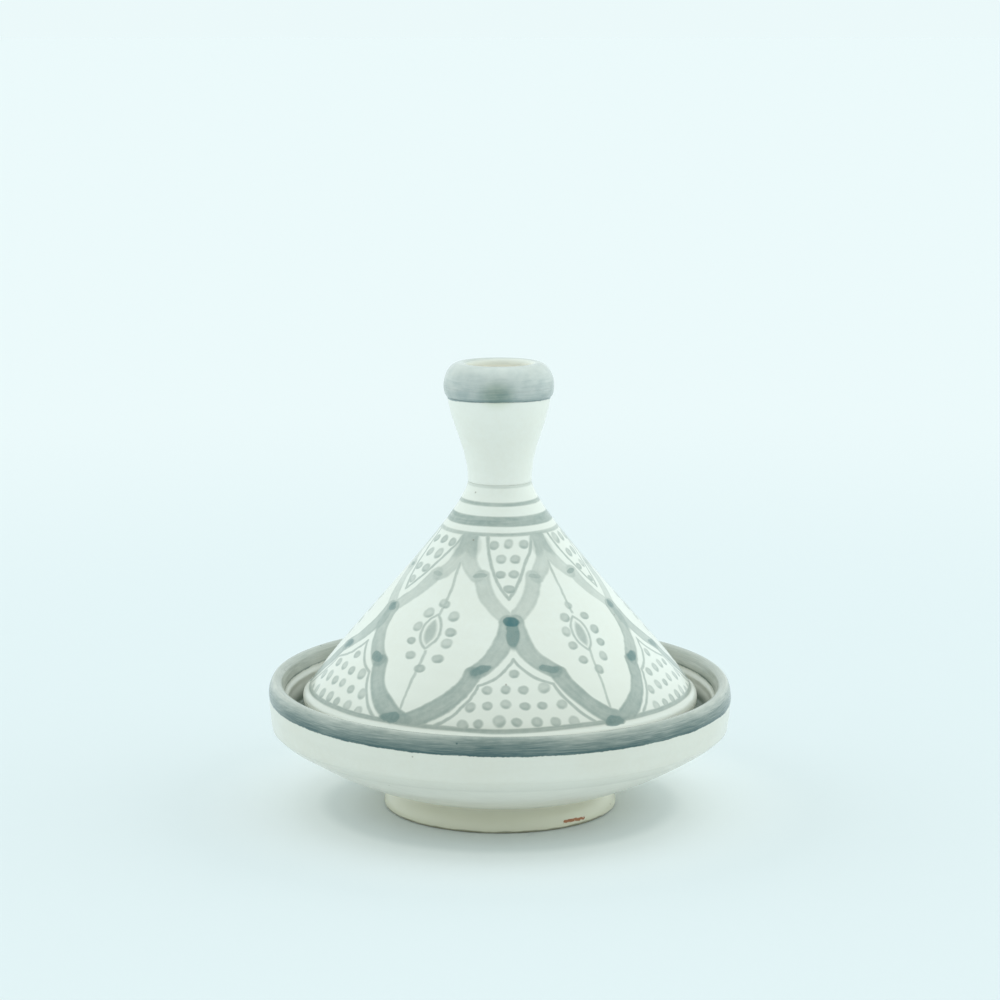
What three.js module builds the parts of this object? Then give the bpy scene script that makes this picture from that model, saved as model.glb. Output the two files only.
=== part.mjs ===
// A small hand-thrown tagine pot: a shallow dish on a trimmed foot, and a conical lid
// whose neck carries a cup-shaped knob. The knob is thrown apart and luted to the cone.
// Millimetres, +Z up, origin at the centre of the foot's underside. Every piece is
// turned about the Z axis, so each one is a lathe of its half outline.
import * as THREE from "three";

// ---- driving dimensions ----
const DISH_RADIUS = 77.1; // outside of the dish, at the rolled rim
const FOOT_RADIUS = 38.9;
const RIM_HEIGHT = 43.2; // crest of the dish's rim
const COLLAR_HEIGHT = 36; // top of the upright collar, where the rolled rim begins
const LEDGE_HEIGHT = 31; // the ledge inside the rim that carries the lid
const LID_RADIUS = 65.8; // outside of the lid's rolled lower edge
const NECK_RADIUS = 10.6;
const NECK_HEIGHT = 109.2; // the seam between the cone and the knob
const KNOB_RADIUS = 18.15;
const TOTAL_HEIGHT = 148.7;
const WALL = 5.5; // thickness of the thrown wall
const SEAT_GAP = 0.3; // left between pieces that touch

// ---- fineness of the turned solids ----
const TURN_SEGMENTS = 60;
const STEP_LENGTH = 2;
const FEWEST_STEPS = 2;
const MOST_STEPS = 10;

const QUARTER = Math.PI / 2;

// Foot ring, from the recess under the dish to the groove above the foot.
function drawFoot(outline) {
  const recessHeight = 4.5;
  const ringInside = FOOT_RADIUS - WALL;
  const edge = 1;
  const grooveRadius = FOOT_RADIUS - 2.5;
  const grooveHeight = 7.8;
  outline.moveTo(0, recessHeight);
  outline.lineTo(ringInside - 3, recessHeight);
  outline.quadraticCurveTo(ringInside - edge / 2, recessHeight, ringInside, edge);
  outline.quadraticCurveTo(ringInside, 0, ringInside + edge, 0);
  outline.lineTo(FOOT_RADIUS - edge, 0);
  outline.quadraticCurveTo(FOOT_RADIUS, 0, FOOT_RADIUS, edge);
  outline.bezierCurveTo(FOOT_RADIUS - 0.2, 4.5, grooveRadius, 6, grooveRadius, grooveHeight);
}

// Outside of the bowl: the flaring underside, a soft corner and the upright collar.
function drawDishOutside(outline) {
  const cornerRadius = DISH_RADIUS - 7.1;
  const cornerHeight = 22.8;
  const collarRadius = DISH_RADIUS - 1.1;
  outline.bezierCurveTo(44, 8.8, 57, 14.5, cornerRadius, cornerHeight);
  outline.quadraticCurveTo(cornerRadius + 3.6, cornerHeight + 1.4, collarRadius, cornerHeight + 4.6);
  outline.quadraticCurveTo(collarRadius + 0.7, 31, DISH_RADIUS - 0.2, COLLAR_HEIGHT);
}

// Rolled rim: a tall outer quarter, then a tighter inner one.
function drawDishRim(outline) {
  const crestRadius = DISH_RADIUS - 2;
  const rollHeight = 5;
  const innerRoll = 1.8;
  outline.lineTo(DISH_RADIUS, RIM_HEIGHT - rollHeight);
  outline.absellipse(crestRadius, RIM_HEIGHT - rollHeight, 2, rollHeight, 0, QUARTER);
  outline.absellipse(crestRadius, RIM_HEIGHT - innerRoll, 2.5, innerRoll, QUARTER, 2 * QUARTER);
}

// Inside of the dish: the wall above the ledge with a crease under the rim, the ledge,
// and the bowl below it.
function drawDishInside(outline) {
  const creaseRadius = DISH_RADIUS - 5.4;
  const creaseHeight = RIM_HEIGHT - 5.7;
  const ledgeOutside = LID_RADIUS + 3.4;
  const ledgeInside = LID_RADIUS - 8.4;
  const floorHeight = 10;
  outline.quadraticCurveTo(creaseRadius + 0.2, RIM_HEIGHT - 3.4, creaseRadius, creaseHeight);
  outline.quadraticCurveTo(creaseRadius - 1.3, creaseHeight - 0.5, creaseRadius - 1.1, creaseHeight - 2);
  outline.lineTo(ledgeOutside, LEDGE_HEIGHT + 1.4);
  outline.quadraticCurveTo(ledgeOutside - 0.2, LEDGE_HEIGHT, ledgeOutside - 1.6, LEDGE_HEIGHT);
  outline.lineTo(ledgeInside, LEDGE_HEIGHT);
  outline.quadraticCurveTo(ledgeInside - 1, LEDGE_HEIGHT, ledgeInside - 1, LEDGE_HEIGHT - 1);
  outline.bezierCurveTo(ledgeInside - 2.4, 15.5, 40, floorHeight, 0, floorHeight);
}

function dishOutline() {
  const outline = new THREE.Path();
  drawFoot(outline);
  drawDishOutside(outline);
  drawDishRim(outline);
  drawDishInside(outline);
  return outline;
}

// The lid's cone: hollow inside up to the neck, and an outside that swells a little low
// down and draws in to the neck. Its lower edge is a rolled flange that tucks in
// underneath to a flat foot standing on the dish's ledge.
function coneOutline() {
  const bottom = LEDGE_HEIGHT + SEAT_GAP;
  const footRadius = LID_RADIUS - 4.4;
  const flangeHeight = LEDGE_HEIGHT + 6.6;
  const shoulderRadius = LID_RADIUS - 1.8;
  const shoulderHeight = LEDGE_HEIGHT + 9;
  const footInside = LID_RADIUS - 7.2;
  const apexHeight = NECK_HEIGHT - 6.2;
  const outline = new THREE.Path();
  outline.moveTo(0, apexHeight);
  outline.bezierCurveTo(15, apexHeight - 5, 45, 52, shoulderRadius - WALL, shoulderHeight);
  outline.lineTo(footInside, bottom + 1);
  outline.quadraticCurveTo(footInside, bottom, footInside + 1, bottom);
  outline.lineTo(footRadius, bottom);
  outline.bezierCurveTo(footRadius + 2.4, bottom, LID_RADIUS, bottom + 3.4, LID_RADIUS, flangeHeight);
  const foldHeight = flangeHeight + 1.8;
  outline.bezierCurveTo(LID_RADIUS, foldHeight, LID_RADIUS - 1, foldHeight, shoulderRadius, shoulderHeight);
  outline.bezierCurveTo(56.2, 53.9, NECK_RADIUS + 2.8, 96, NECK_RADIUS, NECK_HEIGHT);
  outline.lineTo(0, NECK_HEIGHT);
  return outline;
}

// The knob: a flared cup with a thick rolled lip, open at the top.
function knobOutline() {
  const bottom = NECK_HEIGHT + SEAT_GAP;
  const lipUnderside = TOTAL_HEIGHT - 11.1;
  const lipWidest = TOTAL_HEIGHT - 7.7;
  const undercut = 1.15;
  const flareRadius = KNOB_RADIUS - undercut;
  const shoulder = 5.5;
  const crestRadius = KNOB_RADIUS - shoulder;
  const mouthRoll = 1.6;
  const cupFloor = bottom + 6;
  const outline = new THREE.Path();
  outline.moveTo(0, bottom);
  outline.lineTo(NECK_RADIUS, bottom);
  outline.bezierCurveTo(NECK_RADIUS, 120.8, flareRadius - 1.2, 127.5, flareRadius, lipUnderside);
  outline.absellipse(flareRadius, lipWidest, undercut, lipWidest - lipUnderside, -QUARTER, 0);
  outline.absellipse(crestRadius, lipWidest, shoulder, TOTAL_HEIGHT - lipWidest, 0, QUARTER);
  outline.absellipse(crestRadius, TOTAL_HEIGHT - mouthRoll, mouthRoll, mouthRoll, QUARTER, 2 * QUARTER);
  outline.bezierCurveTo(crestRadius - 1.8, 137, 8.5, cupFloor + 3, 0, cupFloor);
  return outline;
}

// Points along an outline: one step for a straight, and more the longer a curve is.
function outlinePoints(outline) {
  const points = [outline.curves[0].getPoint(0)];
  for (const curve of outline.curves) {
    const wanted = Math.ceil(curve.getLength() / STEP_LENGTH);
    const steps = curve.isLineCurve ? 1 : THREE.MathUtils.clamp(wanted, FEWEST_STEPS, MOST_STEPS);
    points.push(...curve.getPoints(steps).slice(1));
  }
  return points;
}

function turnedMesh(name, outline, colour) {
  const geometry = new THREE.LatheGeometry(outlinePoints(outline), TURN_SEGMENTS);
  const glaze = new THREE.MeshStandardMaterial({ color: colour, roughness: 0.22, metalness: 0 });
  const mesh = new THREE.Mesh(geometry, glaze);
  mesh.name = name;
  mesh.rotation.x = QUARTER; // a lathe turns about Y, and the pot stands along Z
  return mesh;
}

const dish = new THREE.Group();
dish.add(turnedMesh("base_dish", dishOutline(), 0xe6ece0));

const lid = new THREE.Group();
lid.add(turnedMesh("lid_cone", coneOutline(), 0xecefe5));
lid.add(turnedMesh("lid_knob", knobOutline(), 0xe9ede4));

const tagine = new THREE.Group();
tagine.add(dish, lid);

export default tagine;
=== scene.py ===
"""Looks of a small hand-painted tagine pot: white tin glaze with brushed blue-grey painting.

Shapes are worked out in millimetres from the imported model's boxes and turned about Z.
The painting on the lid is laid out on the cone rolled out flat, in one cell of six that
repeat round it, and drawn by shader nodes.
"""
import math

import bpy
import numpy as np
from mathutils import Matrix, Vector


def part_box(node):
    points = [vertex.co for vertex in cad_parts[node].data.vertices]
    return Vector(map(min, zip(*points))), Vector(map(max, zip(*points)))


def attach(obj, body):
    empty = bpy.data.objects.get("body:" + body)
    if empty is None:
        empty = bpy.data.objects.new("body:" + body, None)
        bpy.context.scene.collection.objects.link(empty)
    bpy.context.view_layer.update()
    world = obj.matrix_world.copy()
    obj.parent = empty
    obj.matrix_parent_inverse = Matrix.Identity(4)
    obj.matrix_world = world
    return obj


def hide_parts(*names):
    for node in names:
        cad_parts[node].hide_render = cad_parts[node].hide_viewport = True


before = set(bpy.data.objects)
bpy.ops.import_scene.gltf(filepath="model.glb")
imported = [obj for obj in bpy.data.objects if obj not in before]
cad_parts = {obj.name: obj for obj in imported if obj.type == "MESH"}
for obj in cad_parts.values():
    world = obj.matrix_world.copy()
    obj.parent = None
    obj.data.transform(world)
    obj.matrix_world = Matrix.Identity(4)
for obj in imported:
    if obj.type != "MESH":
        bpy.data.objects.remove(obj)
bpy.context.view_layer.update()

MM = 0.001

# ---- driving dimensions, in millimetres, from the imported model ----
DISH_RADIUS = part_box("base_dish")[1][0] / MM
RIM_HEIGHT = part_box("base_dish")[1][2] / MM
LID_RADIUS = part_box("lid_cone")[1][0] / MM
LID_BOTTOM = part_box("lid_cone")[0][2] / MM
NECK_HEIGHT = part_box("lid_cone")[1][2] / MM
KNOB_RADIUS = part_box("lid_knob")[1][0] / MM
KNOB_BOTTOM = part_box("lid_knob")[0][2] / MM
TOTAL_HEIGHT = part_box("lid_knob")[1][2] / MM
FOOT_RADIUS = 38.9
NECK_RADIUS = 10.6
WALL = 5.5
SEAT_GAP = 0.3  # between the lid's edge and the ledge that it stands on
LEDGE_HEIGHT = LID_BOTTOM - SEAT_GAP
COLLAR_HEIGHT = LEDGE_HEIGHT + 5  # where the rolled rim begins
FLANGE_HEIGHT = LEDGE_HEIGHT + 6.6  # the widest part of the lid's rolled edge
SHOULDER_HEIGHT = LEDGE_HEIGHT + 9  # where that edge meets the cone
LIP_UNDERSIDE = TOTAL_HEIGHT - 11.1
LIP_WIDEST = TOTAL_HEIGHT - 7.7
LIP_SHOULDER = 5.5  # width of the outer roll of the knob's lip
CUP_FLOOR = KNOB_BOTTOM + 6
SEAM_HEIGHT = (NECK_HEIGHT + KNOB_BOTTOM) / 2  # where the cone and the knob are luted
SEAM_GROOVE = 0.15  # how far the neck draws in there
SEAM_BEVEL = 0.2
SEAM_HALF_GAP = 0.01

# ---- what the maker's hands left: nothing is quite level or upright ----
RIM_DIP_FORWARD = 0.020  # slope of the dish's rim, down towards the front
RIM_DIP_RIGHT = 0.0065
RIM_LEVEL_BELOW = 30.6  # the lean starts above the ledge, which stays level
RIM_LEANS_ABOVE = 36.6
KNOB_SWAY = -0.45  # how far the knob's top stands to the left

# ---- colours, linear RGB ----
KNOB_GLAZE = (0.915, 0.905, 0.822)
LID_GLAZE = (0.878, 0.872, 0.785)
DISH_GLAZE = (0.79, 0.775, 0.685)
UNDER_GLAZE_PAINTED_LIGHT = (0.90, 0.885, 0.80)  # painted light: a lighter glaze under the bowl, standing in for light that reaches it
GALLERY_PAINTED_SHADE = (0.13, 0.175, 0.13)  # painted shade: dark olive for the shade in the gap between the lid and the rim
# darker and olive round the foot: partly the glaze's own tint, partly painted shade near the floor
FOOT_OLIVE_AND_SHADE = (0.70, 0.675, 0.50)
CLAY = (0.86, 0.81, 0.70)
# painted light: a lighter copy of the clay, for inside the cup
CUP_CLAY_PAINTED_LIGHT = (0.95, 0.91, 0.80)
TERRACOTTA = (0.42, 0.17, 0.08)
IRON = (0.20, 0.16, 0.11)
FOOT_EDGE_DARK = (0.26, 0.25, 0.16)
OLIVE = (0.68, 0.72, 0.56)  # where the knob's glaze has yellowed under the paint
STUDIO = (0.835, 0.948, 0.956)
FLOOR_PAINTED_LIGHT = (0.93, 0.95, 0.955)
FLOOR_NEAR = (0.815, 0.848, 0.856)
FLOOR_FAR = (0.878, 0.884, 0.884)


# =====================================================================================
# Outlines: half sections as (radius, height) points
# =====================================================================================
POINT_SPACING = 0.8  # mm along the outlines of the dish and the cone
KNOB_POINT_SPACING = 0.55
MEASURING_STEPS = 40  # for the length of a curve, before it is divided
FEWEST_STEPS = 3


class Outline:
    """A half section drawn by straights, Bezier curves and elliptical arcs."""

    def __init__(self, start, spacing):
        self.points = [np.array(start, float)]
        self.spacing = spacing

    def _add(self, curve):
        """Samples curve(t), t from 0 to 1, at about the outline's spacing."""
        rough = curve(np.linspace(0, 1, MEASURING_STEPS)[:, None])
        length = np.linalg.norm(np.diff(rough, axis=0), axis=1).sum()
        steps = max(FEWEST_STEPS, math.ceil(length / self.spacing))
        self.points.extend(curve(np.linspace(0, 1, steps + 1)[1:, None]))

    def line(self, *end):
        a, b = self.points[-1], np.array(end, float)
        self._add(lambda t: a + (b - a) * t)

    def quad(self, control, end):
        a, b, c = self.points[-1], np.array(control, float), np.array(end, float)
        self._add(lambda t: (1 - t) ** 2 * a + 2 * t * (1 - t) * b + t * t * c)

    def cubic(self, first, second, end):
        a, d = self.points[-1], np.array(end, float)
        b, c = np.array(first, float), np.array(second, float)

        def curve(t):
            s = 1 - t
            return s**3 * a + 3 * t * s**2 * b + 3 * t * t * s * c + t**3 * d

        self._add(curve)

    def arc(self, centre, radii, start, end):
        """A piece of an ellipse, between two angles in degrees."""
        def curve(t):
            angle = np.radians(start + (end - start) * t)
            radius = centre[0] + radii[0] * np.cos(angle)
            height = centre[1] + radii[1] * np.sin(angle)
            return np.hstack([radius, height])

        self.line(*curve(np.zeros((1, 1)))[0])
        self._add(curve)


def dish_outline():
    """From the centre of the underside, out and over the rim, back to the centre inside."""
    ring_inside = FOOT_RADIUS - WALL
    recess = 4.5
    groove = FOOT_RADIUS - 2.5
    corner = DISH_RADIUS - 7.1
    corner_height = 22.8
    collar = DISH_RADIUS - 1.1
    crest = DISH_RADIUS - 2
    roll = 5
    inner_roll = 1.8
    crease = DISH_RADIUS - 5.4
    crease_height = RIM_HEIGHT - 5.7
    ledge_outside = LID_RADIUS + 3.4
    ledge_inside = LID_RADIUS - 8.4
    floor = 10
    o = Outline((0, recess), POINT_SPACING)
    o.line(ring_inside - 3, recess)
    o.quad((ring_inside - 0.5, recess), (ring_inside, 1))
    o.quad((ring_inside, 0), (ring_inside + 1, 0))
    o.line(FOOT_RADIUS - 1, 0)
    o.quad((FOOT_RADIUS, 0), (FOOT_RADIUS, 1))
    o.cubic((FOOT_RADIUS - 0.2, recess), (groove, 6), (groove, 7.8))
    o.cubic((44, 8.8), (57, 14.5), (corner, corner_height))
    o.quad((corner + 3.4, corner_height + 1.8), (collar, corner_height + 4.6))
    o.quad((collar + 0.7, 31), (DISH_RADIUS - 0.2, COLLAR_HEIGHT))
    o.arc((crest, RIM_HEIGHT - roll), (2, roll), 0, 90)
    o.arc((crest, RIM_HEIGHT - inner_roll), (2.5, inner_roll), 90, 180)
    o.quad((crease + 0.2, RIM_HEIGHT - 3.4), (crease, crease_height))
    o.quad((crease - 1.3, crease_height - 0.5), (crease - 1.1, crease_height - 2))
    o.line(ledge_outside, LEDGE_HEIGHT + 1.4)
    o.quad((ledge_outside - 0.2, LEDGE_HEIGHT), (ledge_outside - 1.6, LEDGE_HEIGHT))
    o.line(ledge_inside, LEDGE_HEIGHT)
    o.quad((ledge_inside - 1, LEDGE_HEIGHT), (ledge_inside - 1, LEDGE_HEIGHT - 1))
    o.cubic((ledge_inside - 2.4, 15.5), (40, floor), (0, floor))
    return o.points


def cone_outline():
    """From the apex inside, down to the rolled edge, and up the outside to the neck."""
    foot = LID_RADIUS - 4.4
    foot_inside = LID_RADIUS - 7.2
    shoulder = LID_RADIUS - 1.8
    fold = FLANGE_HEIGHT + 1.8
    apex = NECK_HEIGHT - 6.2
    o = Outline((0, apex), POINT_SPACING)
    o.cubic((15, apex - 5), (45, 52), (shoulder - WALL, SHOULDER_HEIGHT))
    o.line(foot_inside, LID_BOTTOM + 1)
    o.quad((foot_inside, LID_BOTTOM), (foot_inside + 1, LID_BOTTOM))
    o.line(foot, LID_BOTTOM)
    o.cubic((foot + 2.4, LID_BOTTOM), (LID_RADIUS, LID_BOTTOM + 3.4), (LID_RADIUS, FLANGE_HEIGHT))
    o.cubic((LID_RADIUS, fold), (LID_RADIUS - 1, fold), (shoulder, SHOULDER_HEIGHT))
    o.cubic((56.2, 53.9), (NECK_RADIUS + 2.8, 96), (NECK_RADIUS, SEAM_HEIGHT - SEAM_BEVEL))
    o.line(NECK_RADIUS - SEAM_GROOVE, SEAM_HEIGHT - SEAM_HALF_GAP)
    o.line(0, SEAM_HEIGHT - SEAM_HALF_GAP)
    return o.points


def knob_outline():
    """From the seam, up the flare and over the lip, and down inside the cup."""
    undercut = 1.15
    flare = KNOB_RADIUS - undercut
    crest = KNOB_RADIUS - LIP_SHOULDER
    mouth = 1.6
    o = Outline((0, SEAM_HEIGHT + SEAM_HALF_GAP), KNOB_POINT_SPACING)
    o.line(NECK_RADIUS - SEAM_GROOVE, SEAM_HEIGHT + SEAM_HALF_GAP)
    o.line(NECK_RADIUS, SEAM_HEIGHT + SEAM_BEVEL)
    o.cubic((NECK_RADIUS, 120.8), (flare - 1.2, 127.5), (flare, LIP_UNDERSIDE))
    o.arc((flare, LIP_WIDEST), (undercut, LIP_WIDEST - LIP_UNDERSIDE), -90, 0)
    o.arc((crest, LIP_WIDEST), (LIP_SHOULDER, TOTAL_HEIGHT - LIP_WIDEST), 0, 90)
    o.arc((crest, TOTAL_HEIGHT - mouth), (mouth, mouth), 90, 180)
    o.cubic((crest - 1.8, 137), (8.5, CUP_FLOOR + 3), (0, CUP_FLOOR))
    return o.points


# =====================================================================================
# Turned meshes
# =====================================================================================
TWIST_HEIGHT = 60  # mm over which the ovalness may turn right round
FINGER_PITCH = (4.5, 6.0)  # mm from one turn of the finger marks to the next
FINGER_WAVER = 0.9  # radians by which those turns come early or late
FINGER_WAVER_HEIGHT = 7.0
TRUE_RADIUS = 8  # mm within which the unevenness dies away towards the axis


def thrown_swell(angle, height, seed, roundness, ripple):
    """How far, in mm, a hand-thrown wall stands off its true circle: it is a little oval,
    and the fingers leave a faint spiral up it."""
    random = np.random.default_rng(seed)
    swell = np.zeros(np.broadcast(angle, height).shape)
    for waves in (2, 3, 5):
        phase, twist = random.uniform(0, 2 * math.pi, 2)
        swell += roundness / waves * np.sin(waves * angle + phase + twist * height / TWIST_HEIGHT)
    pitch = random.uniform(*FINGER_PITCH)
    spiral = 2 * math.pi * height / pitch + angle
    unsteady = FINGER_WAVER * np.sin(height / FINGER_WAVER_HEIGHT)
    return swell + ripple * np.sin(spiral + unsteady)


def upright(x, y, z):
    """A piece that stands as it was turned."""
    return x, y, z


def rim_leans(x, y, z):
    """Tips the dish's rim, above the ledge."""
    share = np.clip((z - RIM_LEVEL_BELOW) / (RIM_LEANS_ABOVE - RIM_LEVEL_BELOW), 0, 1)
    share = share * share * (3 - 2 * share)
    return x, y, z + share * (RIM_DIP_FORWARD * y - RIM_DIP_RIGHT * x)


def knob_sways(x, y, z):
    """Sets the knob's top a little to one side of its foot."""
    return x + KNOB_SWAY * (z - KNOB_BOTTOM) / (TOTAL_HEIGHT - KNOB_BOTTOM), y, z


def turned(name, points, segments, seed, roundness=0.12, ripple=0.05, pose=upright):
    """A closed mesh turned from a half section whose ends both lie on the axis."""
    points = np.array(points)
    rows = points[1:-1]
    angle = np.linspace(0, 2 * math.pi, segments, endpoint=False)[None, :]
    radius, height = rows[:, :1], rows[:, 1:]
    share = np.clip(radius / TRUE_RADIUS, 0, 1)
    radius = radius + share * thrown_swell(angle, height, seed, roundness, ripple)
    x = radius * np.sin(angle)
    y = -radius * np.cos(angle)
    ring = np.stack(pose(x, y, height + 0 * angle), axis=-1)
    ends = [pose(0.0, 0.0, points[index][1]) for index in (0, -1)]
    vertices = np.vstack([[ends[0]], ring.reshape(-1, 3), [ends[1]]]) * MM
    column = np.arange(segments)
    after = (column + 1) % segments
    faces = [(0, 1 + b, 1 + a) for a, b in zip(column, after)]
    for row in range(len(rows) - 1):
        low = 1 + row * segments
        high = low + segments
        faces += zip(low + column, low + after, high + after, high + column)
    top = len(vertices) - 1
    base = 1 + (len(rows) - 1) * segments
    faces += [(top, base + a, base + b) for a, b in zip(column, after)]
    mesh = bpy.data.meshes.new(name)
    mesh.from_pydata(vertices.tolist(), [], [tuple(int(i) for i in f) for f in faces])
    mesh.update()
    mesh.shade_smooth()
    piece = bpy.data.objects.new(name, mesh)
    bpy.context.scene.collection.objects.link(piece)
    return piece


# =====================================================================================
# Shader arithmetic: Python operators that make math nodes
# =====================================================================================
class Graph:
    """A node tree, with short calls for the nodes used here."""

    def __init__(self, tree):
        self.nodes = tree.nodes
        self.links = tree.links

    def wire(self, socket, value):
        if isinstance(value, Value):
            self.links.new(value.socket, socket)
        elif isinstance(value, bpy.types.NodeSocket):
            self.links.new(value, socket)
        elif isinstance(value, tuple) and socket.type == "RGBA":
            socket.default_value = (*value, 1.0)
        else:
            socket.default_value = value

    def math(self, operation, *values):
        node = self.nodes.new("ShaderNodeMath")
        node.operation = operation
        for socket, value in zip(node.inputs, values):
            self.wire(socket, value)
        return Value(self, node.outputs[0])

    def split(self, vector):
        """The three parts of a vector."""
        node = self.nodes.new("ShaderNodeSeparateXYZ")
        self.links.new(vector, node.inputs[0])
        return [Value(self, output) for output in node.outputs]

    def vector_math(self, operation, *vectors, scale=None):
        node = self.nodes.new("ShaderNodeVectorMath")
        node.operation = operation
        for socket, value in zip(node.inputs, vectors):
            self.wire(socket, value)
        if scale is not None:
            node.inputs["Scale"].default_value = scale
        return node.outputs[0]

    def vector(self, x, y, z=0.0):
        node = self.nodes.new("ShaderNodeCombineXYZ")
        for socket, value in zip(node.inputs, (x, y, z)):
            self.wire(socket, value)
        return node.outputs[0]

    def hypot(self, x, y):
        return self.math("SQRT", x * x + y * y)

    def most(self, first, second):
        return self.math("MAXIMUM", first, second)

    def ramp(self, value, low, high, to_low=0.0, to_high=1.0, smooth=True):
        """value from low..high carried smoothly to to_low..to_high, and held beyond."""
        node = self.nodes.new("ShaderNodeMapRange")
        node.interpolation_type = "SMOOTHSTEP" if smooth else "LINEAR"
        for socket, number in zip(node.inputs, (value, low, high, to_low, to_high)):
            self.wire(socket, number)
        return Value(self, node.outputs[0])

    def vary(self, noise, amount, window=0.2, smooth=True):
        """A factor about 1 that follows a noise: 1 - amount where the noise is low, and
        1 + amount where it is high."""
        return self.ramp(noise, 0.5 - window, 0.5 + window, 1 - amount, 1 + amount, smooth)

    def noise(self, scale, detail, vector, roughness=0.5):
        """Noise from 0 to 1 about 0.5; scale is in features per unit of the vector."""
        node = self.nodes.new("ShaderNodeTexNoise")
        self.wire(node.inputs["Vector"], vector)
        node.inputs["Scale"].default_value = scale
        node.inputs["Detail"].default_value = detail
        node.inputs["Roughness"].default_value = roughness
        return Value(self, node.outputs["Fac"])

    def chance(self, x, y, z=0.0):
        """A fixed random number from 0 to 1 for each triple of numbers."""
        node = self.nodes.new("ShaderNodeTexWhiteNoise")
        self.links.new(self.vector(x, y, z), node.inputs["Vector"])
        return Value(self, node.outputs["Value"])

    def mix(self, factor, first, second, blend="MIX"):
        """Two colours blended; either may be a linear RGB tuple or a socket."""
        node = self.nodes.new("ShaderNodeMix")
        node.data_type = "RGBA"
        node.blend_type = blend
        self.wire(node.inputs["Factor"], factor)
        for socket, colour in zip([s for s in node.inputs if s.type == "RGBA"], (first, second)):
            self.wire(socket, colour)
        return [s for s in node.outputs if s.type == "RGBA"][0]


class Value:
    """A number computed by nodes. Operators make math nodes in the same graph."""

    def __init__(self, graph, socket):
        self.graph = graph
        self.socket = socket

    def __add__(self, other):
        return self.graph.math("ADD", self, other)

    def __sub__(self, other):
        return self.graph.math("SUBTRACT", self, other)

    def __mul__(self, other):
        return self.graph.math("MULTIPLY", self, other)

    def __truediv__(self, other):
        return self.graph.math("DIVIDE", self, other)

    def __rsub__(self, other):
        return self.graph.math("SUBTRACT", other, self)

    def __neg__(self):
        return self.graph.math("MULTIPLY", self, -1.0)

    def __abs__(self):
        return self.graph.math("ABSOLUTE", self)

    __radd__ = __add__
    __rmul__ = __mul__


class Surface(Graph):
    """A new material's node tree, with the place on the pot in millimetres."""

    def __init__(self, name):
        self.material = bpy.data.materials.new(name)
        self.material.use_nodes = True
        super().__init__(self.material.node_tree)
        self.shader = self.nodes["Principled BSDF"]
        coordinates = self.nodes.new("ShaderNodeTexCoord")
        self.position = self.vector_math("SCALE", coordinates.outputs["Object"], scale=1 / MM)
        self.x, self.y, self.z = self.split(self.position)
        self.radius = self.hypot(self.x, self.y)
        self.angle = self.math("ARCTAN2", self.x, -self.y)  # from the front, towards +X

    def clouds(self, scale, detail, roughness=0.5):
        """Noise from 0 to 1 over the surface; scale is in features per millimetre."""
        return self.noise(scale, detail, self.position, roughness)

    def wobble(self, scale, detail, size):
        """Noise about 0 that wanders over a span of size."""
        return (self.clouds(scale, detail) - 0.5) * size

    def specks(self, scale, size, share):
        """1 in small round spots scattered over the surface; share of cells have one."""
        node = self.nodes.new("ShaderNodeTexVoronoi")
        self.links.new(self.position, node.inputs["Vector"])
        node.inputs["Scale"].default_value = scale
        colour = self.nodes.new("ShaderNodeSeparateColor")
        self.links.new(node.outputs["Color"], colour.inputs[0])
        chosen = self.math("LESS_THAN", Value(self, colour.outputs[0]), share)
        edge = size * scale
        near = self.ramp(Value(self, node.outputs["Distance"]), edge * 0.5, edge, 1.0, 0.0)
        return chosen * near

    def painted(self, base, density, blue=0.97, clears=1.0):
        """A base colour seen through paint of that density, as through a stained film.
        Thin paint is a neutral grey; where it lies thick it lets more green and blue by.
        blue is how much of the blue thin paint takes up, and clears how fast it greens."""
        green = 0.93
        green_clears = 0.12 * clears
        blue_clears = 0.16 * clears
        absorbed = (
            density,
            density * (green - green_clears * density),
            density * (blue - blue_clears * density),
        )
        film = self.nodes.new("ShaderNodeCombineColor")
        for socket, part in zip(film.inputs, absorbed):
            self.wire(socket, self.math("POWER", math.exp(-1), part))
        return self.mix(1.0, base, film.outputs[0], blend="MULTIPLY")

    def bump(self, height, strength, distance):
        node = self.nodes.new("ShaderNodeBump")
        self.wire(node.inputs["Height"], height)
        node.inputs["Strength"].default_value = strength
        node.inputs["Distance"].default_value = distance * MM
        self.links.new(node.outputs["Normal"], self.shader.inputs["Normal"])


# =====================================================================================
# The painting on the lid
# =====================================================================================
# The cone rolled out flat: a point at radius r lies r / CONE_SINE from the apex, and turns
# by CONE_SINE of its angle round the pot. Places in a cell are (across, from the apex), mm.
CELLS = 6
CONE_SINE = 0.636
PATTERN_START = math.radians(5.3)  # the front cell's axis, from -Y towards +X
SPREAD = math.radians(6.0)  # the painter's cells are wider in front than behind
LEAN = math.radians(5.0)  # and drift round, the same way on both sides, away from the front
SOFT = 0.42  # mm, half the width over which the edge of a brush mark fades out
LINE_SOFT = 0.3  # the same for a thin line or a ring

# How the brush leaves its paint: streaks and changes of load, per mm.
STREAKS_ACROSS = 0.9
STREAKS_ALONG = 0.08
LOADS_ALONG = 0.09
LOAD_TONE = 0.7  # how much of the load shows in the density
STOP_BEFORE = 3.5  # mm before the end of a stroke where the paint begins to pile up
STOP_BEYOND = 1.5
STOP_DENSITY = 0.25
EDGE_INSIDE = 0.6  # mm inside a stroke's edge where the paint has pooled
EDGE_DENSITY = 0.14

# The round dots of the panels and flowers.
DOT_RADIUS = 1.42
DOT_GROWTH = 0.30  # mm that the largest dots are wider than the smallest, in radius
DOT_ASTRAY = (0.9, 0.8)  # mm over which a dot may be off its place
DOT_DENSITY = 0.34
DOT_LOAD = 0.22  # density that the most loaded dots have over the least
DOT_CRESCENT = 0.30  # density gathered at the lower side

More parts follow.
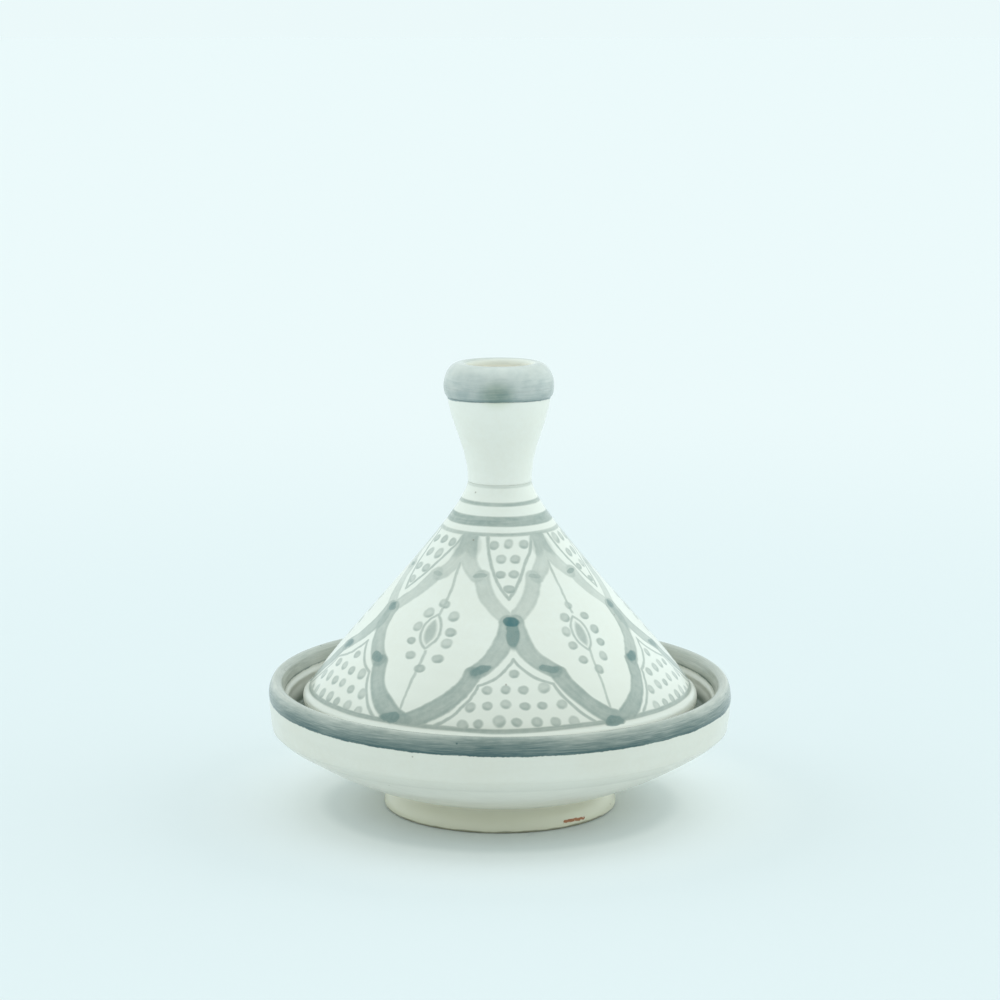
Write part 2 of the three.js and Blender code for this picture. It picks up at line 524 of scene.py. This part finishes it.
# A stroke or line is the arc through three places: where it starts, its middle, its end.
UPPER_STROKES = (
    ((10.0, 29.0), (11.3, 37.5), (8.9, 44.6)),
    ((7.6, 44.8), (6.3, 51.8), (0.6, 61.4)),
)
UPPER_WIDTH = 4.9
UPPER_DENSITIES = (0.30, 0.32)
LOWER_STROKES = (
    ((1.2, 61.8), (4.5, 73.6), (11.1, 80.0)),
    ((12.4, 80.8), (18.8, 89.0), (31.2, 94.0)),
)
LOWER_WIDTH = 5.4
LOWER_DENSITIES = (0.52, 0.66)
HANGING_OUTLINE = (
    ((6.7, 27.5), (6.6, 33.5), (4.9, 41.0)),
    ((4.9, 41.0), (3.1, 46.8), (0.0, 53.6)),
)
HANGING_LEAN = 1.5  # mm that the hanging shapes lean at the top
TENT_OUTLINE = (
    ((0.0, 75.9), (4.4, 81.8), (10.8, 85.1)),
    ((10.8, 85.1), (15.4, 91.7), (25.5, 97.2)),
)
LINE_WIDTH = 0.95
LINE_DENSITY = 0.54
ROW_PITCH = 5.45  # mm from one row of dots to the next
SHOW_THROUGH = 0.25  # share of a stroke that shows through one laid over it
DAB_SHOW_THROUGH = 0.2

# Rings round the cone, by height: the lowest is the base line.
BASE_LINE = SHOULDER_HEIGHT + 1.0
BASE_LINE_WIDTH = 1.25
BASE_LINE_DENSITY = 0.66
BASE_LINE_SAG = 0.5  # mm, at the front
SAG_ENDS = (45.0, 50.0)  # heights between which the sag dies out
NECK_RINGS = (  # lower edge, upper edge, density
    (94.1, 95.1, 0.55),
    (97.0, 99.9, 0.77),
    (103.0, 104.1, 0.62),
    (108.5, 109.6, 0.24),
)


def circle_through(a, b, c):
    """Centre and radius of the circle through three points."""
    (ax, ay), (bx, by), (cx, cy) = a, b, c
    d = 2 * (ax * (by - cy) + bx * (cy - ay) + cx * (ay - by))
    a2, b2, c2 = ax * ax + ay * ay, bx * bx + by * by, cx * cx + cy * cy
    x = (a2 * (by - cy) + b2 * (cy - ay) + c2 * (ay - by)) / d
    y = (a2 * (cx - bx) + b2 * (ax - cx) + c2 * (bx - ax)) / d
    return x, y, math.hypot(ax - x, ay - y)


class Cell:
    """One repeat of the painting: flat coordinates about its axis, and its number."""

    def __init__(self, graph, turn, shift_across, shift_along):
        g = graph
        warped = g.angle - PATTERN_START
        warped = warped - SPREAD * g.math("SINE", warped) + LEAN * (1.0 - g.math("COSINE", warped))
        width = 2 * math.pi / CELLS
        steps = warped / width + turn
        nearest = g.math("ROUND", steps)
        self.number = g.math("WRAP", nearest, CELLS, 0.0)
        flat_angle = (steps - nearest) * (width * CONE_SINE)
        reach = g.radius / CONE_SINE
        self.graph = g
        self.across = reach * g.math("SINE", flat_angle) + shift_across
        self.along = reach * g.math("COSINE", flat_angle) + shift_along
        self.side = g.math("SIGN", self.across)
        self.mirrored = abs(self.across)

    def arc(self, a, b, c):
        """Distance off the arc through three points, how far along it from its middle, its
        half length, and how far past its end."""
        g = self.graph
        x, y, radius = circle_through(a, b, c)
        dx = self.mirrored - x
        dy = self.along - y
        off = g.hypot(dx, dy) - radius
        middle = math.atan2(b[1] - y, b[0] - x)
        forward = dx * math.cos(middle) + dy * math.sin(middle)
        sideways = dy * math.cos(middle) - dx * math.sin(middle)
        run = g.math("ARCTAN2", sideways, forward) * radius
        ends = []
        for end in (a, c):
            turn = math.atan2(end[1] - y, end[0] - x) - middle
            ends.append(radius * math.atan2(math.sin(turn), math.cos(turn)))
        centre = sum(ends) / 2
        half = abs(ends[0] - ends[1]) / 2
        direction = 1.0 if ends[1] > ends[0] else -1.0
        run = (run - centre) * direction
        return off, run, half, g.most(abs(run) - half, 0.0)

    def brush_stroke(self, points, width, density, key):
        """Density of one loaded brush stroke: faintly streaky along it, mottled where the
        glaze took the paint up unevenly, and darker where the brush stopped."""
        g = self.graph
        off, run, half_length, past = self.arc(*points)
        # each stroke of each cell has its own noise, drawn out along the stroke
        own = self.number * 7.0 + self.side * 2.0 + key
        streak_place = g.vector(off * STREAKS_ACROSS, run * STREAKS_ALONG, own)
        load_place = g.vector(run * LOADS_ALONG, self.number * 5.0 + self.side, key + 40.0)
        streak = g.noise(1.0, 2.0, streak_place)
        load = g.noise(1.0, 1.0, load_place)
        half = width / 2 * g.ramp(load, 0.2, 0.8, 0.90, 1.12, smooth=False)
        inside = half - g.hypot(off, past)
        body = g.ramp(inside, -SOFT, SOFT)
        tone = g.vary(streak, 0.12, 0.25, smooth=False) + (load - 0.5) * LOAD_TONE
        stopped = g.ramp(run, half_length - STOP_BEFORE, half_length + STOP_BEYOND, 0.0, STOP_DENSITY)
        pooled_edge = g.ramp(abs(inside - EDGE_INSIDE), 0.0, 0.8, EDGE_DENSITY, 0.0)
        return body * density * (tone + stopped + pooled_edge)

    def thin_line(self, points):
        """1 on a thin line drawn along an arc."""
        g = self.graph
        off, _, _, past = self.arc(*points)
        return g.ramp(LINE_WIDTH / 2 - g.hypot(off, past), -LINE_SOFT, LINE_SOFT)

    def blob(self, centre, half_sizes, tilt=0.0, mirror=True, rough=0.0):
        """An elliptical dab of paint, 1 inside; rough moves its edge in and out."""
        g = self.graph
        dx = (self.mirrored if mirror else self.across) - centre[0]
        dy = self.along - centre[1]
        u = (dx * math.cos(tilt) + dy * math.sin(tilt)) / half_sizes[0]
        v = (dy * math.cos(tilt) - dx * math.sin(tilt)) / half_sizes[1]
        return g.ramp(g.hypot(u, v) + rough, 0.70, 1.15, 1.0, 0.0)

    def pointed(self, centre, half_width, half_height):
        """Distance measure of a pointed oval: 1 on its outline, less inside."""
        g = self.graph
        # two circles that cross at the tips
        radius = (half_width**2 + half_height**2) / (2 * half_width)
        dx = abs(self.across - centre[0]) + (radius - half_width)
        dy = self.along - centre[1]
        return (g.hypot(dx, dy) - radius) / half_width + 1.0

    def dot(self, x, y, number):
        """A round dab, slightly off its place, with its paint run to one side."""
        g = self.graph
        roll = g.chance(number, self.number, 3.0)
        luck = g.chance(number, self.number, 8.0)
        dx = self.across - x - (roll - 0.5) * DOT_ASTRAY[0]
        dy = self.along - y - (luck - 0.5) * DOT_ASTRAY[1]
        distance = g.hypot(dx, dy * (0.85 + 0.3 * luck))  # some are a little tall, some flat
        radius = DOT_RADIUS + DOT_GROWTH * roll
        body = g.ramp(radius - distance, -SOFT, SOFT)
        downhill = dx * (roll - 0.5) + dy * 0.8
        crescent = g.ramp(downhill, 0.1, 1.5) * DOT_CRESCENT
        hollow = g.ramp(distance, 0.2, radius, -0.06, 0.05)
        return body * (DOT_DENSITY + DOT_LOAD * luck + crescent + hollow)


def dots_in_rows(cell, top, limit, spacing):
    """Four rows of dots inside a shape, the first at the distance top from the apex.
    limit is how far a dot may stand from the axis, and spacing how far from the next one;
    both are functions of the row."""
    g = cell.graph
    row = g.math("MINIMUM", g.most(g.math("ROUND", (cell.along - top) / ROW_PITCH), 0.0), 3.0)
    step = spacing(row)
    # the dots of the second and third rows stand between those of the others
    phase = g.math("LESS_THAN", abs(row - 1.5), 1.0) * 0.5
    column = g.math("ROUND", cell.across / step - phase) + phase
    place = column * step
    allowed = g.math("LESS_THAN", abs(place), limit(row))
    return allowed * cell.dot(place, row * ROW_PITCH + top, column * 3.0 + row * 17.0 + top)


def alternate(cell):
    """1 in every other cell and -1 in those between."""
    return cell.graph.math("COSINE", cell.number * math.pi)


def leaf_flower(cell):
    """The seed in the middle of a leaf, its stalk, and the ring of dots about it."""
    g = cell.graph
    tall = 12.0  # half the height and half the width of the ring of dots
    wide = 5.3
    count = 10
    squeeze = 1.6  # closes the dots up at the sides of the ring, where it is flattest
    middle = 69.3 - alternate(cell) * 0.7  # every other flower stands a little higher
    # the dots, each at its share of a turn about the seed
    down = cell.along - middle
    turn = g.math("ARCTAN2", cell.across / (wide * squeeze), down / tall)
    angle = g.math("ROUND", turn * (count / (2 * math.pi))) * (2 * math.pi / count)
    sine = g.math("SINE", angle) * squeeze
    cosine = g.math("COSINE", angle)
    reach = g.hypot(sine, cosine)
    dots = cell.dot(sine / reach * wide, middle + cosine / reach * tall, angle * 5.0 + 60.0)
    # the seed: a pointed outline with a filled core, a little left of the leaf's middle
    left = -0.5
    shape = cell.pointed((left, middle - 1.5), 3.1, 6.6)
    outline = g.ramp(abs(shape - 0.92), 0.02, 0.24, 0.50, 0.0)
    core = g.ramp(cell.pointed((left, middle - 1.2), 1.9, 4.8), 0.5, 1.2, 0.55, 0.0)
    # the stalk, from the leaf's top to its foot, broken by the seed
    bend = g.most(cell.along - 75.0, 0.0) * 0.09
    stalk = g.ramp(abs(cell.across + bend), 0.15, 0.70, 0.42, 0.0)
    above = g.ramp(cell.along, 39.0, 40.5) * g.ramp(cell.along, 60.5, 61.5, 1.0, 0.0)
    below = g.ramp(cell.along, 73.6, 74.4) * g.ramp(cell.along, 96.5, 98.0, 1.0, 0.0)
    return layered(g, (dots, outline, core, stalk * (above + below)), SHOW_THROUGH)


def layered(g, layers, show_through):
    """Densities laid over each other: the darkest, plus a share of what lies under it."""
    total = layers[0]
    for layer in layers[1:]:
        total = g.most(total, layer) + show_through * g.math("MINIMUM", total, layer)
    return total


def ring(g, low, high, density, height):
    """A painted ring round the lid, between two heights."""
    middle = (low + high) / 2
    half = (high - low) / 2
    return g.ramp(abs(height - middle), half - LINE_SOFT, half + LINE_SOFT, density, 0.0)


def hand_shifts(g):
    """How far the painter's hand was off, across and along: a slow drift and a tremor."""
    elsewhere = g.vector_math("ADD", g.position, (40.0, 10.0, 0.0))
    drift_across = g.wobble(0.055, 1.0, 2.6)
    drift_along = (g.noise(0.055, 1.0, elsewhere) - 0.5) * 2.2
    tremor = g.wobble(0.45, 1.0, 1.0)
    return drift_across + tremor * 0.5, drift_along + tremor * 0.4


def arches(g, joint, rough):
    """The broad strokes between the leaves, and the dabs where they meet."""
    strokes = []
    for i in range(2):
        strokes.append(joint.brush_stroke(UPPER_STROKES[i], UPPER_WIDTH, UPPER_DENSITIES[i], 3.0 + i))
        strokes.append(joint.brush_stroke(LOWER_STROKES[i], LOWER_WIDTH, LOWER_DENSITIES[i], 9.0 + i))
    total = layered(g, strokes, SHOW_THROUGH)
    # where strokes meet the brush was set down and lifted, and left thick dabs
    luck = g.chance(joint.number, joint.side, 1.0)
    heavy = 0.80 + 0.20 * alternate(joint)
    dabs = [
        joint.blob((8.2, 44.5), (2.2, 0.9), rough=rough) * (0.50 + 0.35 * luck),
        joint.blob((10.2, 79.6), (3.6, 1.8), 0.25, rough=rough) * (1.05 + 0.45 * luck),
        joint.blob((-0.2, 61.7), (2.6, 1.9), 0.3, mirror=False, rough=rough) * (1.85 * heavy),
        joint.blob((0.0, 66.4), (2.2, 6.2), rough=rough * 0.4) * (1.35 * heavy - 0.15),
    ]
    total = layered(g, [total, *dabs], DAB_SHOW_THROUGH)
    # the brush is fullest where each upper stroke starts
    return total + joint.blob((9.8, 31.0), (2.6, 6.5)) * 0.24


def dotted_shapes(g, total, joint, hanging_cell):
    """Adds the shapes that hang under the neck and the tents on the base line."""
    lines = [hanging_cell.thin_line(points) for points in HANGING_OUTLINE]
    lines += [joint.thin_line(points) for points in TENT_OUTLINE]
    for line in lines:
        total = g.most(total, line * LINE_DENSITY)
    hanging = dots_in_rows(
        hanging_cell,
        top=33.3,
        limit=lambda row: 5.2 - row * 1.6,
        spacing=lambda row: 4.7 - row * 0.4,
    )
    tent = dots_in_rows(
        joint,
        top=81.4,
        limit=lambda row: 2.8 + row * 6.5 - row * row * 0.5,
        spacing=lambda row: 5.2 + row * 0.06,
    )
    upper = g.math("LESS_THAN", joint.along, 56.0)  # between the hanging shapes and the tents
    return g.most(total, hanging * upper + tent * (1.0 - upper))


def rings_round_cone(g, total):
    """Ends the painting at the base line and the lowest neck ring, and adds the rings."""
    height = g.z + g.wobble(0.05, 1.0, 0.5)
    sag_low, sag_high = SAG_ENDS
    height = height + g.ramp(g.z, sag_high, sag_low) * g.ramp(abs(g.angle), 0.0, 0.4, BASE_LINE_SAG, 0.0)
    base_low = BASE_LINE - BASE_LINE_WIDTH / 2
    base_high = BASE_LINE + BASE_LINE_WIDTH / 2
    top = NECK_RINGS[0][0]
    total = total * g.ramp(height, base_low, BASE_LINE) * g.ramp(height, top + 0.3, top + 0.9, 1.0, 0.0)
    hairs = g.noise(1.0, 2.0, g.vector(g.z * 1.2, g.angle * 1.3))
    brushed = g.ramp(hairs, 0.3, 0.7, 0.80, 1.15)
    for low, high, density in ((base_low, base_high, BASE_LINE_DENSITY), *NECK_RINGS):
        total = g.most(total, ring(g, low, high, density, height) * brushed)
    return total


def lid_painting(g):
    """Density of all the paint on the outside of the cone."""
    shift_across, shift_along = hand_shifts(g)
    joint = Cell(g, 0.0, shift_across, shift_along)
    leaf = Cell(g, 0.5, shift_across + 0.6, shift_along)
    leaning = shift_across - g.ramp(g.radius, 18.0, 29.0, HANGING_LEAN, 0.0)
    hanging_cell = Cell(g, 0.0, leaning, shift_along)
    rough = g.wobble(0.28, 1.5, 1.0)

    total = arches(g, joint, rough)
    total = dotted_shapes(g, total, joint, hanging_cell)
    total = g.most(total, leaf_flower(leaf))
    total = rings_round_cone(g, total)
    # a last dab on the base line, at the foot of each leaf
    swing = alternate(leaf)
    foot = (-2.75 - 0.85 * swing, 99.0 - 0.7 * swing)
    foot_dab = leaf.blob(foot, (3.6, 1.9), 0.12, mirror=False, rough=rough)
    total = layered(g, [total, foot_dab * 1.2], DAB_SHOW_THROUGH)
    return total * g.vary(g.clouds(0.5, 3.0, roughness=0.6), 0.10)


# =====================================================================================
# Materials
# =====================================================================================
GLAZE_IOR = 1.5
GLAZE_ROUGHNESS = 0.2
CLAY_ROUGHNESS = 0.75
RIM_TURN = DISH_RADIUS - 2.6  # radius at which the rim's paint turns from outside to inside
BAND_LOW = COLLAR_HEIGHT + 1.35  # lower edge of the rim's paint outside
BAND_LOW_INSIDE = RIM_HEIGHT - 4.9
CHIPS_AT = (24.5, -30.2)  # the chips in the foot, near the front and to the right


def shaded(colour, *factors):
    """A colour with its parts multiplied: all by one factor, or each by its own."""
    return tuple(c * k for c, k in zip(colour, factors * 3 if len(factors) == 1 else factors))


def glaze_base(g, glaze):
    """White tin glaze: ivory with faint clouds, thinner and warmer where it has run."""
    tint = g.ramp(g.clouds(0.035, 3.0) * 0.7 + g.clouds(0.6, 3.0) * 0.3, 0.35, 0.65)
    warm = shaded(glaze, 0.975)
    cool = shaded(glaze, 1.0, 1.012, 1.03)
    return g.mix(tint, warm, cool)


def glossy_surface(g, roughness, gloss=0.5):
    """Gloss and faint unevenness that all the glazed pieces share."""
    g.wire(g.shader.inputs["Roughness"], roughness)
    g.shader.inputs["IOR"].default_value = GLAZE_IOR
    g.shader.inputs["Specular IOR Level"].default_value = gloss
    swell = g.clouds(0.09, 2.0)
    skin = g.clouds(0.9, 3.0)
    g.bump(swell + skin * 0.12, 0.35, 0.5)


def add_specks(g, colour):
    """Small dark iron specks and pinholes in the glaze."""
    spots = g.specks(0.11, 0.45, 0.22)
    return g.mix(spots * 0.5, colour, IRON)


def lid_material():
    g = Surface("lid_glaze")
    above_edge = g.ramp(g.z - (SHOULDER_HEIGHT - 1), -0.5, 0.5)
    density = lid_painting(g) * above_edge
    # painted shade: the glaze is painted a little darker low down on the cone, most at the front, where
    # the rim shades it
    painted_shade_low = g.ramp(g.z, 72.0, 44.0) * g.ramp(abs(g.angle), 0.3, 0.9, 1.0, 0.2)
    base = g.mix(painted_shade_low, glaze_base(g, LID_GLAZE), shaded(LID_GLAZE, 0.93))
    g.wire(g.shader.inputs["Base Color"], add_specks(g, g.painted(base, density)))
    glossy_surface(g, GLAZE_ROUGHNESS + density * 0.06, gloss=0.32)
    return g.material


def plain_glaze_material(name):
    g = Surface(name)
    g.wire(g.shader.inputs["Base Color"], add_specks(g, glaze_base(g, LID_GLAZE)))
    glossy_surface(g, GLAZE_ROUGHNESS + 0.04 + g.clouds(0.3, 2.0) * 0.1)
    return g.material


def brushed_round(g, turns, fineness):
    """Noise drawn out into streaks that run round the pot, from 0 to 1 about 0.5."""
    height = g.z * fineness + g.radius * fineness
    around = g.vector(g.math("SINE", g.angle) * turns, g.math("COSINE", g.angle) * turns, height)
    return g.noise(1.0, 4.0, around, 0.6)


def rim_density(g, height):
    """Density of the paint brushed round the dish's rim, outside and inside."""
    edge = g.ramp(g.radius, RIM_TURN - 0.4, RIM_TURN + 0.4, BAND_LOW_INSIDE, BAND_LOW)
    above = height - edge + (g.wobble(0.12, 3.0, 0.9) + g.wobble(0.9, 2.0, 0.5))
    painted = g.ramp(above, -0.2, 0.25) * g.ramp(g.radius, LID_RADIUS + 3, LID_RADIUS + 4)
    # outside the paint has run down and lies thick at the lower edge
    down = g.ramp(height, RIM_HEIGHT - 0.2, BAND_LOW, 0.0, 1.0, smooth=False)
    outer = 0.93 + 1.45 * g.math("POWER", down, 0.8) + g.ramp(above, 0.0, 1.4, 0.55, 0.0)
    # the brush was fullest at the front, and driest at the sides
    outer = outer - g.ramp(abs(g.angle), 0.08, 0.40, 0.0, 0.45)
    outer = outer - g.ramp(abs(g.angle), 0.8, 1.2, 0.0, 0.15)
    inner = 0.41 + g.ramp(height, RIM_HEIGHT - 4.2, BAND_LOW_INSIDE, 0.0, 0.8)
    on_outside = g.ramp(g.radius, RIM_TURN - 0.2, RIM_TURN + 1.0)
    streaks = g.vary(brushed_round(g, 3.2, 1.5), 0.20, smooth=False)
    fine_streaks = g.vary(brushed_round(g, 12.0, 4.0), 0.24, 0.15, smooth=False)
    patches = g.vary(g.clouds(0.05, 2.0), 0.15)
    density = painted * (on_outside * outer + (1.0 - on_outside) * inner)
    density = density * streaks * fine_streaks * patches
    pits = g.specks(0.30, 0.42, 0.30) * g.ramp(g.clouds(0.08, 1.0), 0.45, 0.60)
    return density + painted * pits * 0.9


def gallery(g, height):
    """1 on the ledge between the lid and the rim, fading up the wall behind it: where painted shade
    darkens the gap.
    """
    between = g.ramp(g.radius, LID_RADIUS - 2.4, LID_RADIUS + 0.4)
    between = between * g.ramp(g.radius, RIM_TURN - 1.5, RIM_TURN - 0.5, 1.0, 0.0)
    above_ledge = g.ramp(height, LEDGE_HEIGHT - 1, LEDGE_HEIGHT)
    return between * above_ledge * g.ramp(height, LEDGE_HEIGHT + 0.5, LEDGE_HEIGHT + 4, 1.0, 0.08)


def chipped(g):
    """1 where the foot's lower edge is chipped through the glaze."""
    across, towards = CHIPS_AT
    near = g.ramp(g.hypot(g.x - across, g.y - towards), 3.5, 7.0, 0.62, 0.0)
    torn = g.z + g.wobble(0.45, 2.0, 2.4)
    low_edge = g.ramp(torn, 1.3, 1.6) * g.ramp(torn, 2.5, 2.9, 1.0, 0.0)
    chips = g.ramp(g.clouds(0.6, 4.0, roughness=0.65) + near * 0.5, 0.70, 0.74)
    return chips * low_edge * g.ramp(g.radius, FOOT_RADIUS - 2.9, FOOT_RADIUS - 1.9)


def dish_material():
    g = Surface("dish_glaze")
    # heights as they were on the wheel, before the rim leaned
    leaning = g.ramp(g.z, RIM_LEVEL_BELOW, RIM_LEANS_ABOVE)
    height = g.z - leaning * (g.y * RIM_DIP_FORWARD - g.x * RIM_DIP_RIGHT)
    # under the bowl the glaze is painted lighter, as painted light; in the gallery it is painted dark
    # olive, as painted shade; round the foot it is darker and olive, partly the glaze's own tint and
    # partly painted shade near the floor
    base = g.mix(g.ramp(g.z, 20.0, 25.0), UNDER_GLAZE_PAINTED_LIGHT, glaze_base(g, DISH_GLAZE))
    base = g.mix(gallery(g, height), base, GALLERY_PAINTED_SHADE)
    base = g.mix(g.ramp(g.z, 4.0, 14.0, 1.0, 0.0) * 0.75, base, FOOT_OLIVE_AND_SHADE)
    # the rim's paint is given a slightly bluer tint than the lid's, as painted reflection of the sky
    colour = add_specks(g, g.painted(base, rim_density(g, height), blue=0.95, clears=0.65))
    # the standing ring is wiped bare, and is painted darker at its lower outer edge
    bare = g.ramp(g.z + g.wobble(0.3, 3.0, 0.8), 0.25, 0.6, 1.0, 0.0)
    dark_edge = g.ramp(g.z + g.wobble(0.15, 2.0, 1.2), 0.45, 1.0, 0.85, 0.0)
    dark_edge = dark_edge * g.ramp(g.radius, FOOT_RADIUS - 1.4, FOOT_RADIUS - 0.6)
    chips = chipped(g)
    colour = g.mix(bare, colour, CLAY)
    colour = g.mix(dark_edge, colour, FOOT_EDGE_DARK)
    colour = g.mix(chips, colour, TERRACOTTA)
    g.wire(g.shader.inputs["Base Color"], colour)
    glossy_surface(g, g.ramp(bare + chips, 0.0, 1.0, GLAZE_ROUGHNESS, CLAY_ROUGHNESS))
    return g.material


def knob_density(g, stain_and_shade):
    """Density of the paint on the knob's lip; the second argument is where it lies thickest, at the
    front, partly painted shade.
    """
    # the band's lower edge follows the crease under the lip, lower at the sides
    drop = g.x * g.x * (0.8 / KNOB_RADIUS**2)
    above = g.z - LIP_UNDERSIDE + drop + (g.wobble(0.07, 2.0, 1.2) + g.wobble(0.8, 2.0, 0.3))
    crest = KNOB_RADIUS - LIP_SHOULDER
    outside = g.ramp(g.radius, crest - 1.3, crest - 0.5)
    painted = g.ramp(above, -0.2, 0.2) * outside
    down = g.ramp(g.z, TOTAL_HEIGHT - 0.5, LIP_UNDERSIDE + 0.5, 0.0, 1.0, smooth=False)
    mottled = g.vary(g.clouds(0.22, 3.0, roughness=0.55), 0.14)
    streaks = g.vary(brushed_round(g, 2.2, 1.6), 0.18, smooth=False)
    edge = g.ramp(above, 0.0, 1.3, 0.45, 0.0)
    return painted * ((0.31 + down * 0.46 + stain_and_shade) * mottled * streaks + edge)


def inside_cup(g):
    """1 inside the knob's cup, below its mouth."""
    wall_middle = g.ramp(g.z, KNOB_BOTTOM + 5, TOTAL_HEIGHT - 10, 8.0, 13.5, smooth=False)
    inside = g.math("LESS_THAN", g.radius, wall_middle) * g.ramp(g.z, CUP_FLOOR - 1, CUP_FLOOR - 0.5)
    return inside * g.ramp(g.z, TOTAL_HEIGHT - 2.6, TOTAL_HEIGHT - 1.9, 1.0, 0.0)


def knob_material():
    g = Surface("knob_glaze")
    # paint lies thick on the front of the lip, where the glaze has yellowed; its darkness there is
    # partly painted shade
    stain_and_shade = g.ramp(g.hypot(g.x + 1.0, (g.z - LIP_WIDEST + 1.0) * 1.3), 1.0, 8.0, 0.34, 0.0)
    stain_and_shade = stain_and_shade * g.ramp(g.y, -5.0, 0.0, 1.0, 0.0)
    base = g.mix(stain_and_shade * 2.4, glaze_base(g, KNOB_GLAZE), OLIVE)
    # the knob's paint is given a bluer tint still, as painted reflection of the sky on its sides
    colour = add_specks(g, g.painted(base, knob_density(g, stain_and_shade), blue=0.90))
    # inside the cup the clay is bare, painted lighter than the foot's clay as painted light in the cup
    inside = inside_cup(g)
    clay = g.mix(g.ramp(g.clouds(0.5, 4.0), 0.3, 0.7), CUP_CLAY_PAINTED_LIGHT, shaded(CUP_CLAY_PAINTED_LIGHT, 0.94))
    g.wire(g.shader.inputs["Base Color"], g.mix(inside, colour, clay))
    glossy_surface(g, GLAZE_ROUGHNESS + inside * 0.5)
    return g.material


# =====================================================================================
# Pieces
# =====================================================================================
WIDE_SEGMENTS = 288  # round the dish and the cone
KNOB_SEGMENTS = 192
FACES_DOWN = -0.05  # a face of the cone whose normal points lower is on the inside


def finish_piece(piece, materials, body, node):
    """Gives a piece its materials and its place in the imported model."""
    for material in materials:
        piece.data.materials.append(material)
    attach(piece, body)
    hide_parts(node)


def make_pot():
    dish = turned("dish", dish_outline(), WIDE_SEGMENTS, seed=3, pose=rim_leans)
    finish_piece(dish, [dish_material()], "dish", "base_dish")

    cone = turned("lid_cone_painted", cone_outline(), WIDE_SEGMENTS, seed=5, roundness=0.15, ripple=0.04)
    cone_materials = [lid_material(), plain_glaze_material("lid_inside_glaze")]
    finish_piece(cone, cone_materials, "lid", "lid_cone")
    for face in cone.data.polygons:
        face.material_index = 1 if face.normal.z < FACES_DOWN else 0

    knob = turned(
        "lid_knob_cup",
        knob_outline(),
        KNOB_SEGMENTS,
        seed=8,
        roundness=0.08,
        ripple=0.03,
        pose=knob_sways,
    )
    finish_piece(knob, [knob_material()], "lid", "lid_knob")


# =====================================================================================
# Studio
# =====================================================================================
FLOOR_HALF = 60.0  # metres: far enough for the floor to meet the horizon
NEAR_POT = 0.25  # metres, within which the floor has its near colour
FAR_FROM_POT = 1.0
SKY_IN_FRONT = 0.72
SKY_OVERHEAD = 0.85
LEFT_WINDOW = 0.50
RIGHT_WINDOW = 0.66
WINDOW_STARTS = 0.18  # how far round to the side, as a direction cosine
WINDOW_FULL = 0.95
SUN_STRENGTH = 0.40
SUN_SPREAD = 60  # degrees
CAMERA_DISTANCE = 0.900  # metres in front of the pot's axis
CAMERA_HEIGHT = 0.2573
CAMERA_PITCH = 9.74  # degrees below the level
CAMERA_LENS = 99.4  # mm, on a sensor 36 mm wide


def floor():
    """A plain pale floor that runs out to the horizon, where it is as light as the sky."""
    signs = ((-1, -1), (1, -1), (1, 1), (-1, 1))
    corners = [(across * FLOOR_HALF, along * FLOOR_HALF, 0.0) for across, along in signs]
    mesh = bpy.data.meshes.new("floor")
    mesh.from_pydata(corners, [], [(0, 1, 2, 3)])
    sheet = bpy.data.objects.new("floor", mesh)
    bpy.context.scene.collection.objects.link(sheet)
    g = Surface("floor")
    distance = g.radius * MM
    # painted light: the floor is painted a little lighter close round the pot, which opens its shadow up
    painted_light_ring = g.ramp(distance, 0.055, 0.063) * g.ramp(distance, 0.068, 0.110, 1.0, 0.0)
    colour = g.mix(painted_light_ring, FLOOR_NEAR, FLOOR_PAINTED_LIGHT)
    colour = g.mix(g.ramp(distance, NEAR_POT, FAR_FROM_POT), colour, FLOOR_FAR)
    g.wire(g.shader.inputs["Base Color"], colour)
    g.shader.inputs["Roughness"].default_value = 0.95
    g.shader.inputs["Specular IOR Level"].default_value = 0.0
    sheet.data.materials.append(g.material)


def sky():
    """Even light all round, a little dimmer on the viewer's side, with a bright window on
    the left and on the right."""
    world = bpy.data.worlds.new("studio")
    world.use_nodes = True
    g = Graph(world.node_tree)
    x, y, z = g.split(g.nodes.new("ShaderNodeTexCoord").outputs["Generated"])
    right = g.ramp(x, WINDOW_STARTS, WINDOW_FULL, 0.0, RIGHT_WINDOW, smooth=False)
    left = g.ramp(-x, WINDOW_STARTS, WINDOW_FULL, 0.0, LEFT_WINDOW, smooth=False)
    back_to_front = g.ramp(y, -0.9, 0.1, SKY_IN_FRONT, 1.0)
    strength = back_to_front * g.ramp(z, 0.05, 0.8, 1.0, SKY_OVERHEAD) + right + left
    background = g.nodes["Background"]
    background.inputs["Color"].default_value = (*STUDIO, 1.0)
    g.wire(background.inputs["Strength"], strength)
    bpy.context.scene.world = world


def soft_sun(name, towards, strength, spread):
    """Light from a wide soft source far off in one direction; spread in degrees."""
    lamp = bpy.data.lights.new(name, "SUN")
    lamp.energy = strength
    lamp.angle = math.radians(spread)
    lamp.color = STUDIO
    light = bpy.data.objects.new(name, lamp)
    light.rotation_euler = Vector(towards).to_track_quat("Z", "Y").to_euler()
    bpy.context.scene.collection.objects.link(light)


def studio():
    floor()
    sky()
    soft_sun("overhead", (0.05, 0.15, 1.0), SUN_STRENGTH, SUN_SPREAD)


def camera():
    """A camera close in front of the pot and a little above it, looking slightly down."""
    data = bpy.data.cameras.new("camera")
    data.lens = CAMERA_LENS
    data.sensor_width = 36
    data.clip_start = 0.01
    data.clip_end = 3 * FLOOR_HALF
    eye = bpy.data.objects.new("camera", data)
    eye.location = (0, -CAMERA_DISTANCE, CAMERA_HEIGHT)
    eye.rotation_euler = (math.radians(90 - CAMERA_PITCH), 0, 0)
    bpy.context.scene.collection.objects.link(eye)
    bpy.context.scene.camera = eye


camera()
make_pot()
studio()
bpy.context.scene.view_settings.view_transform = "Standard"
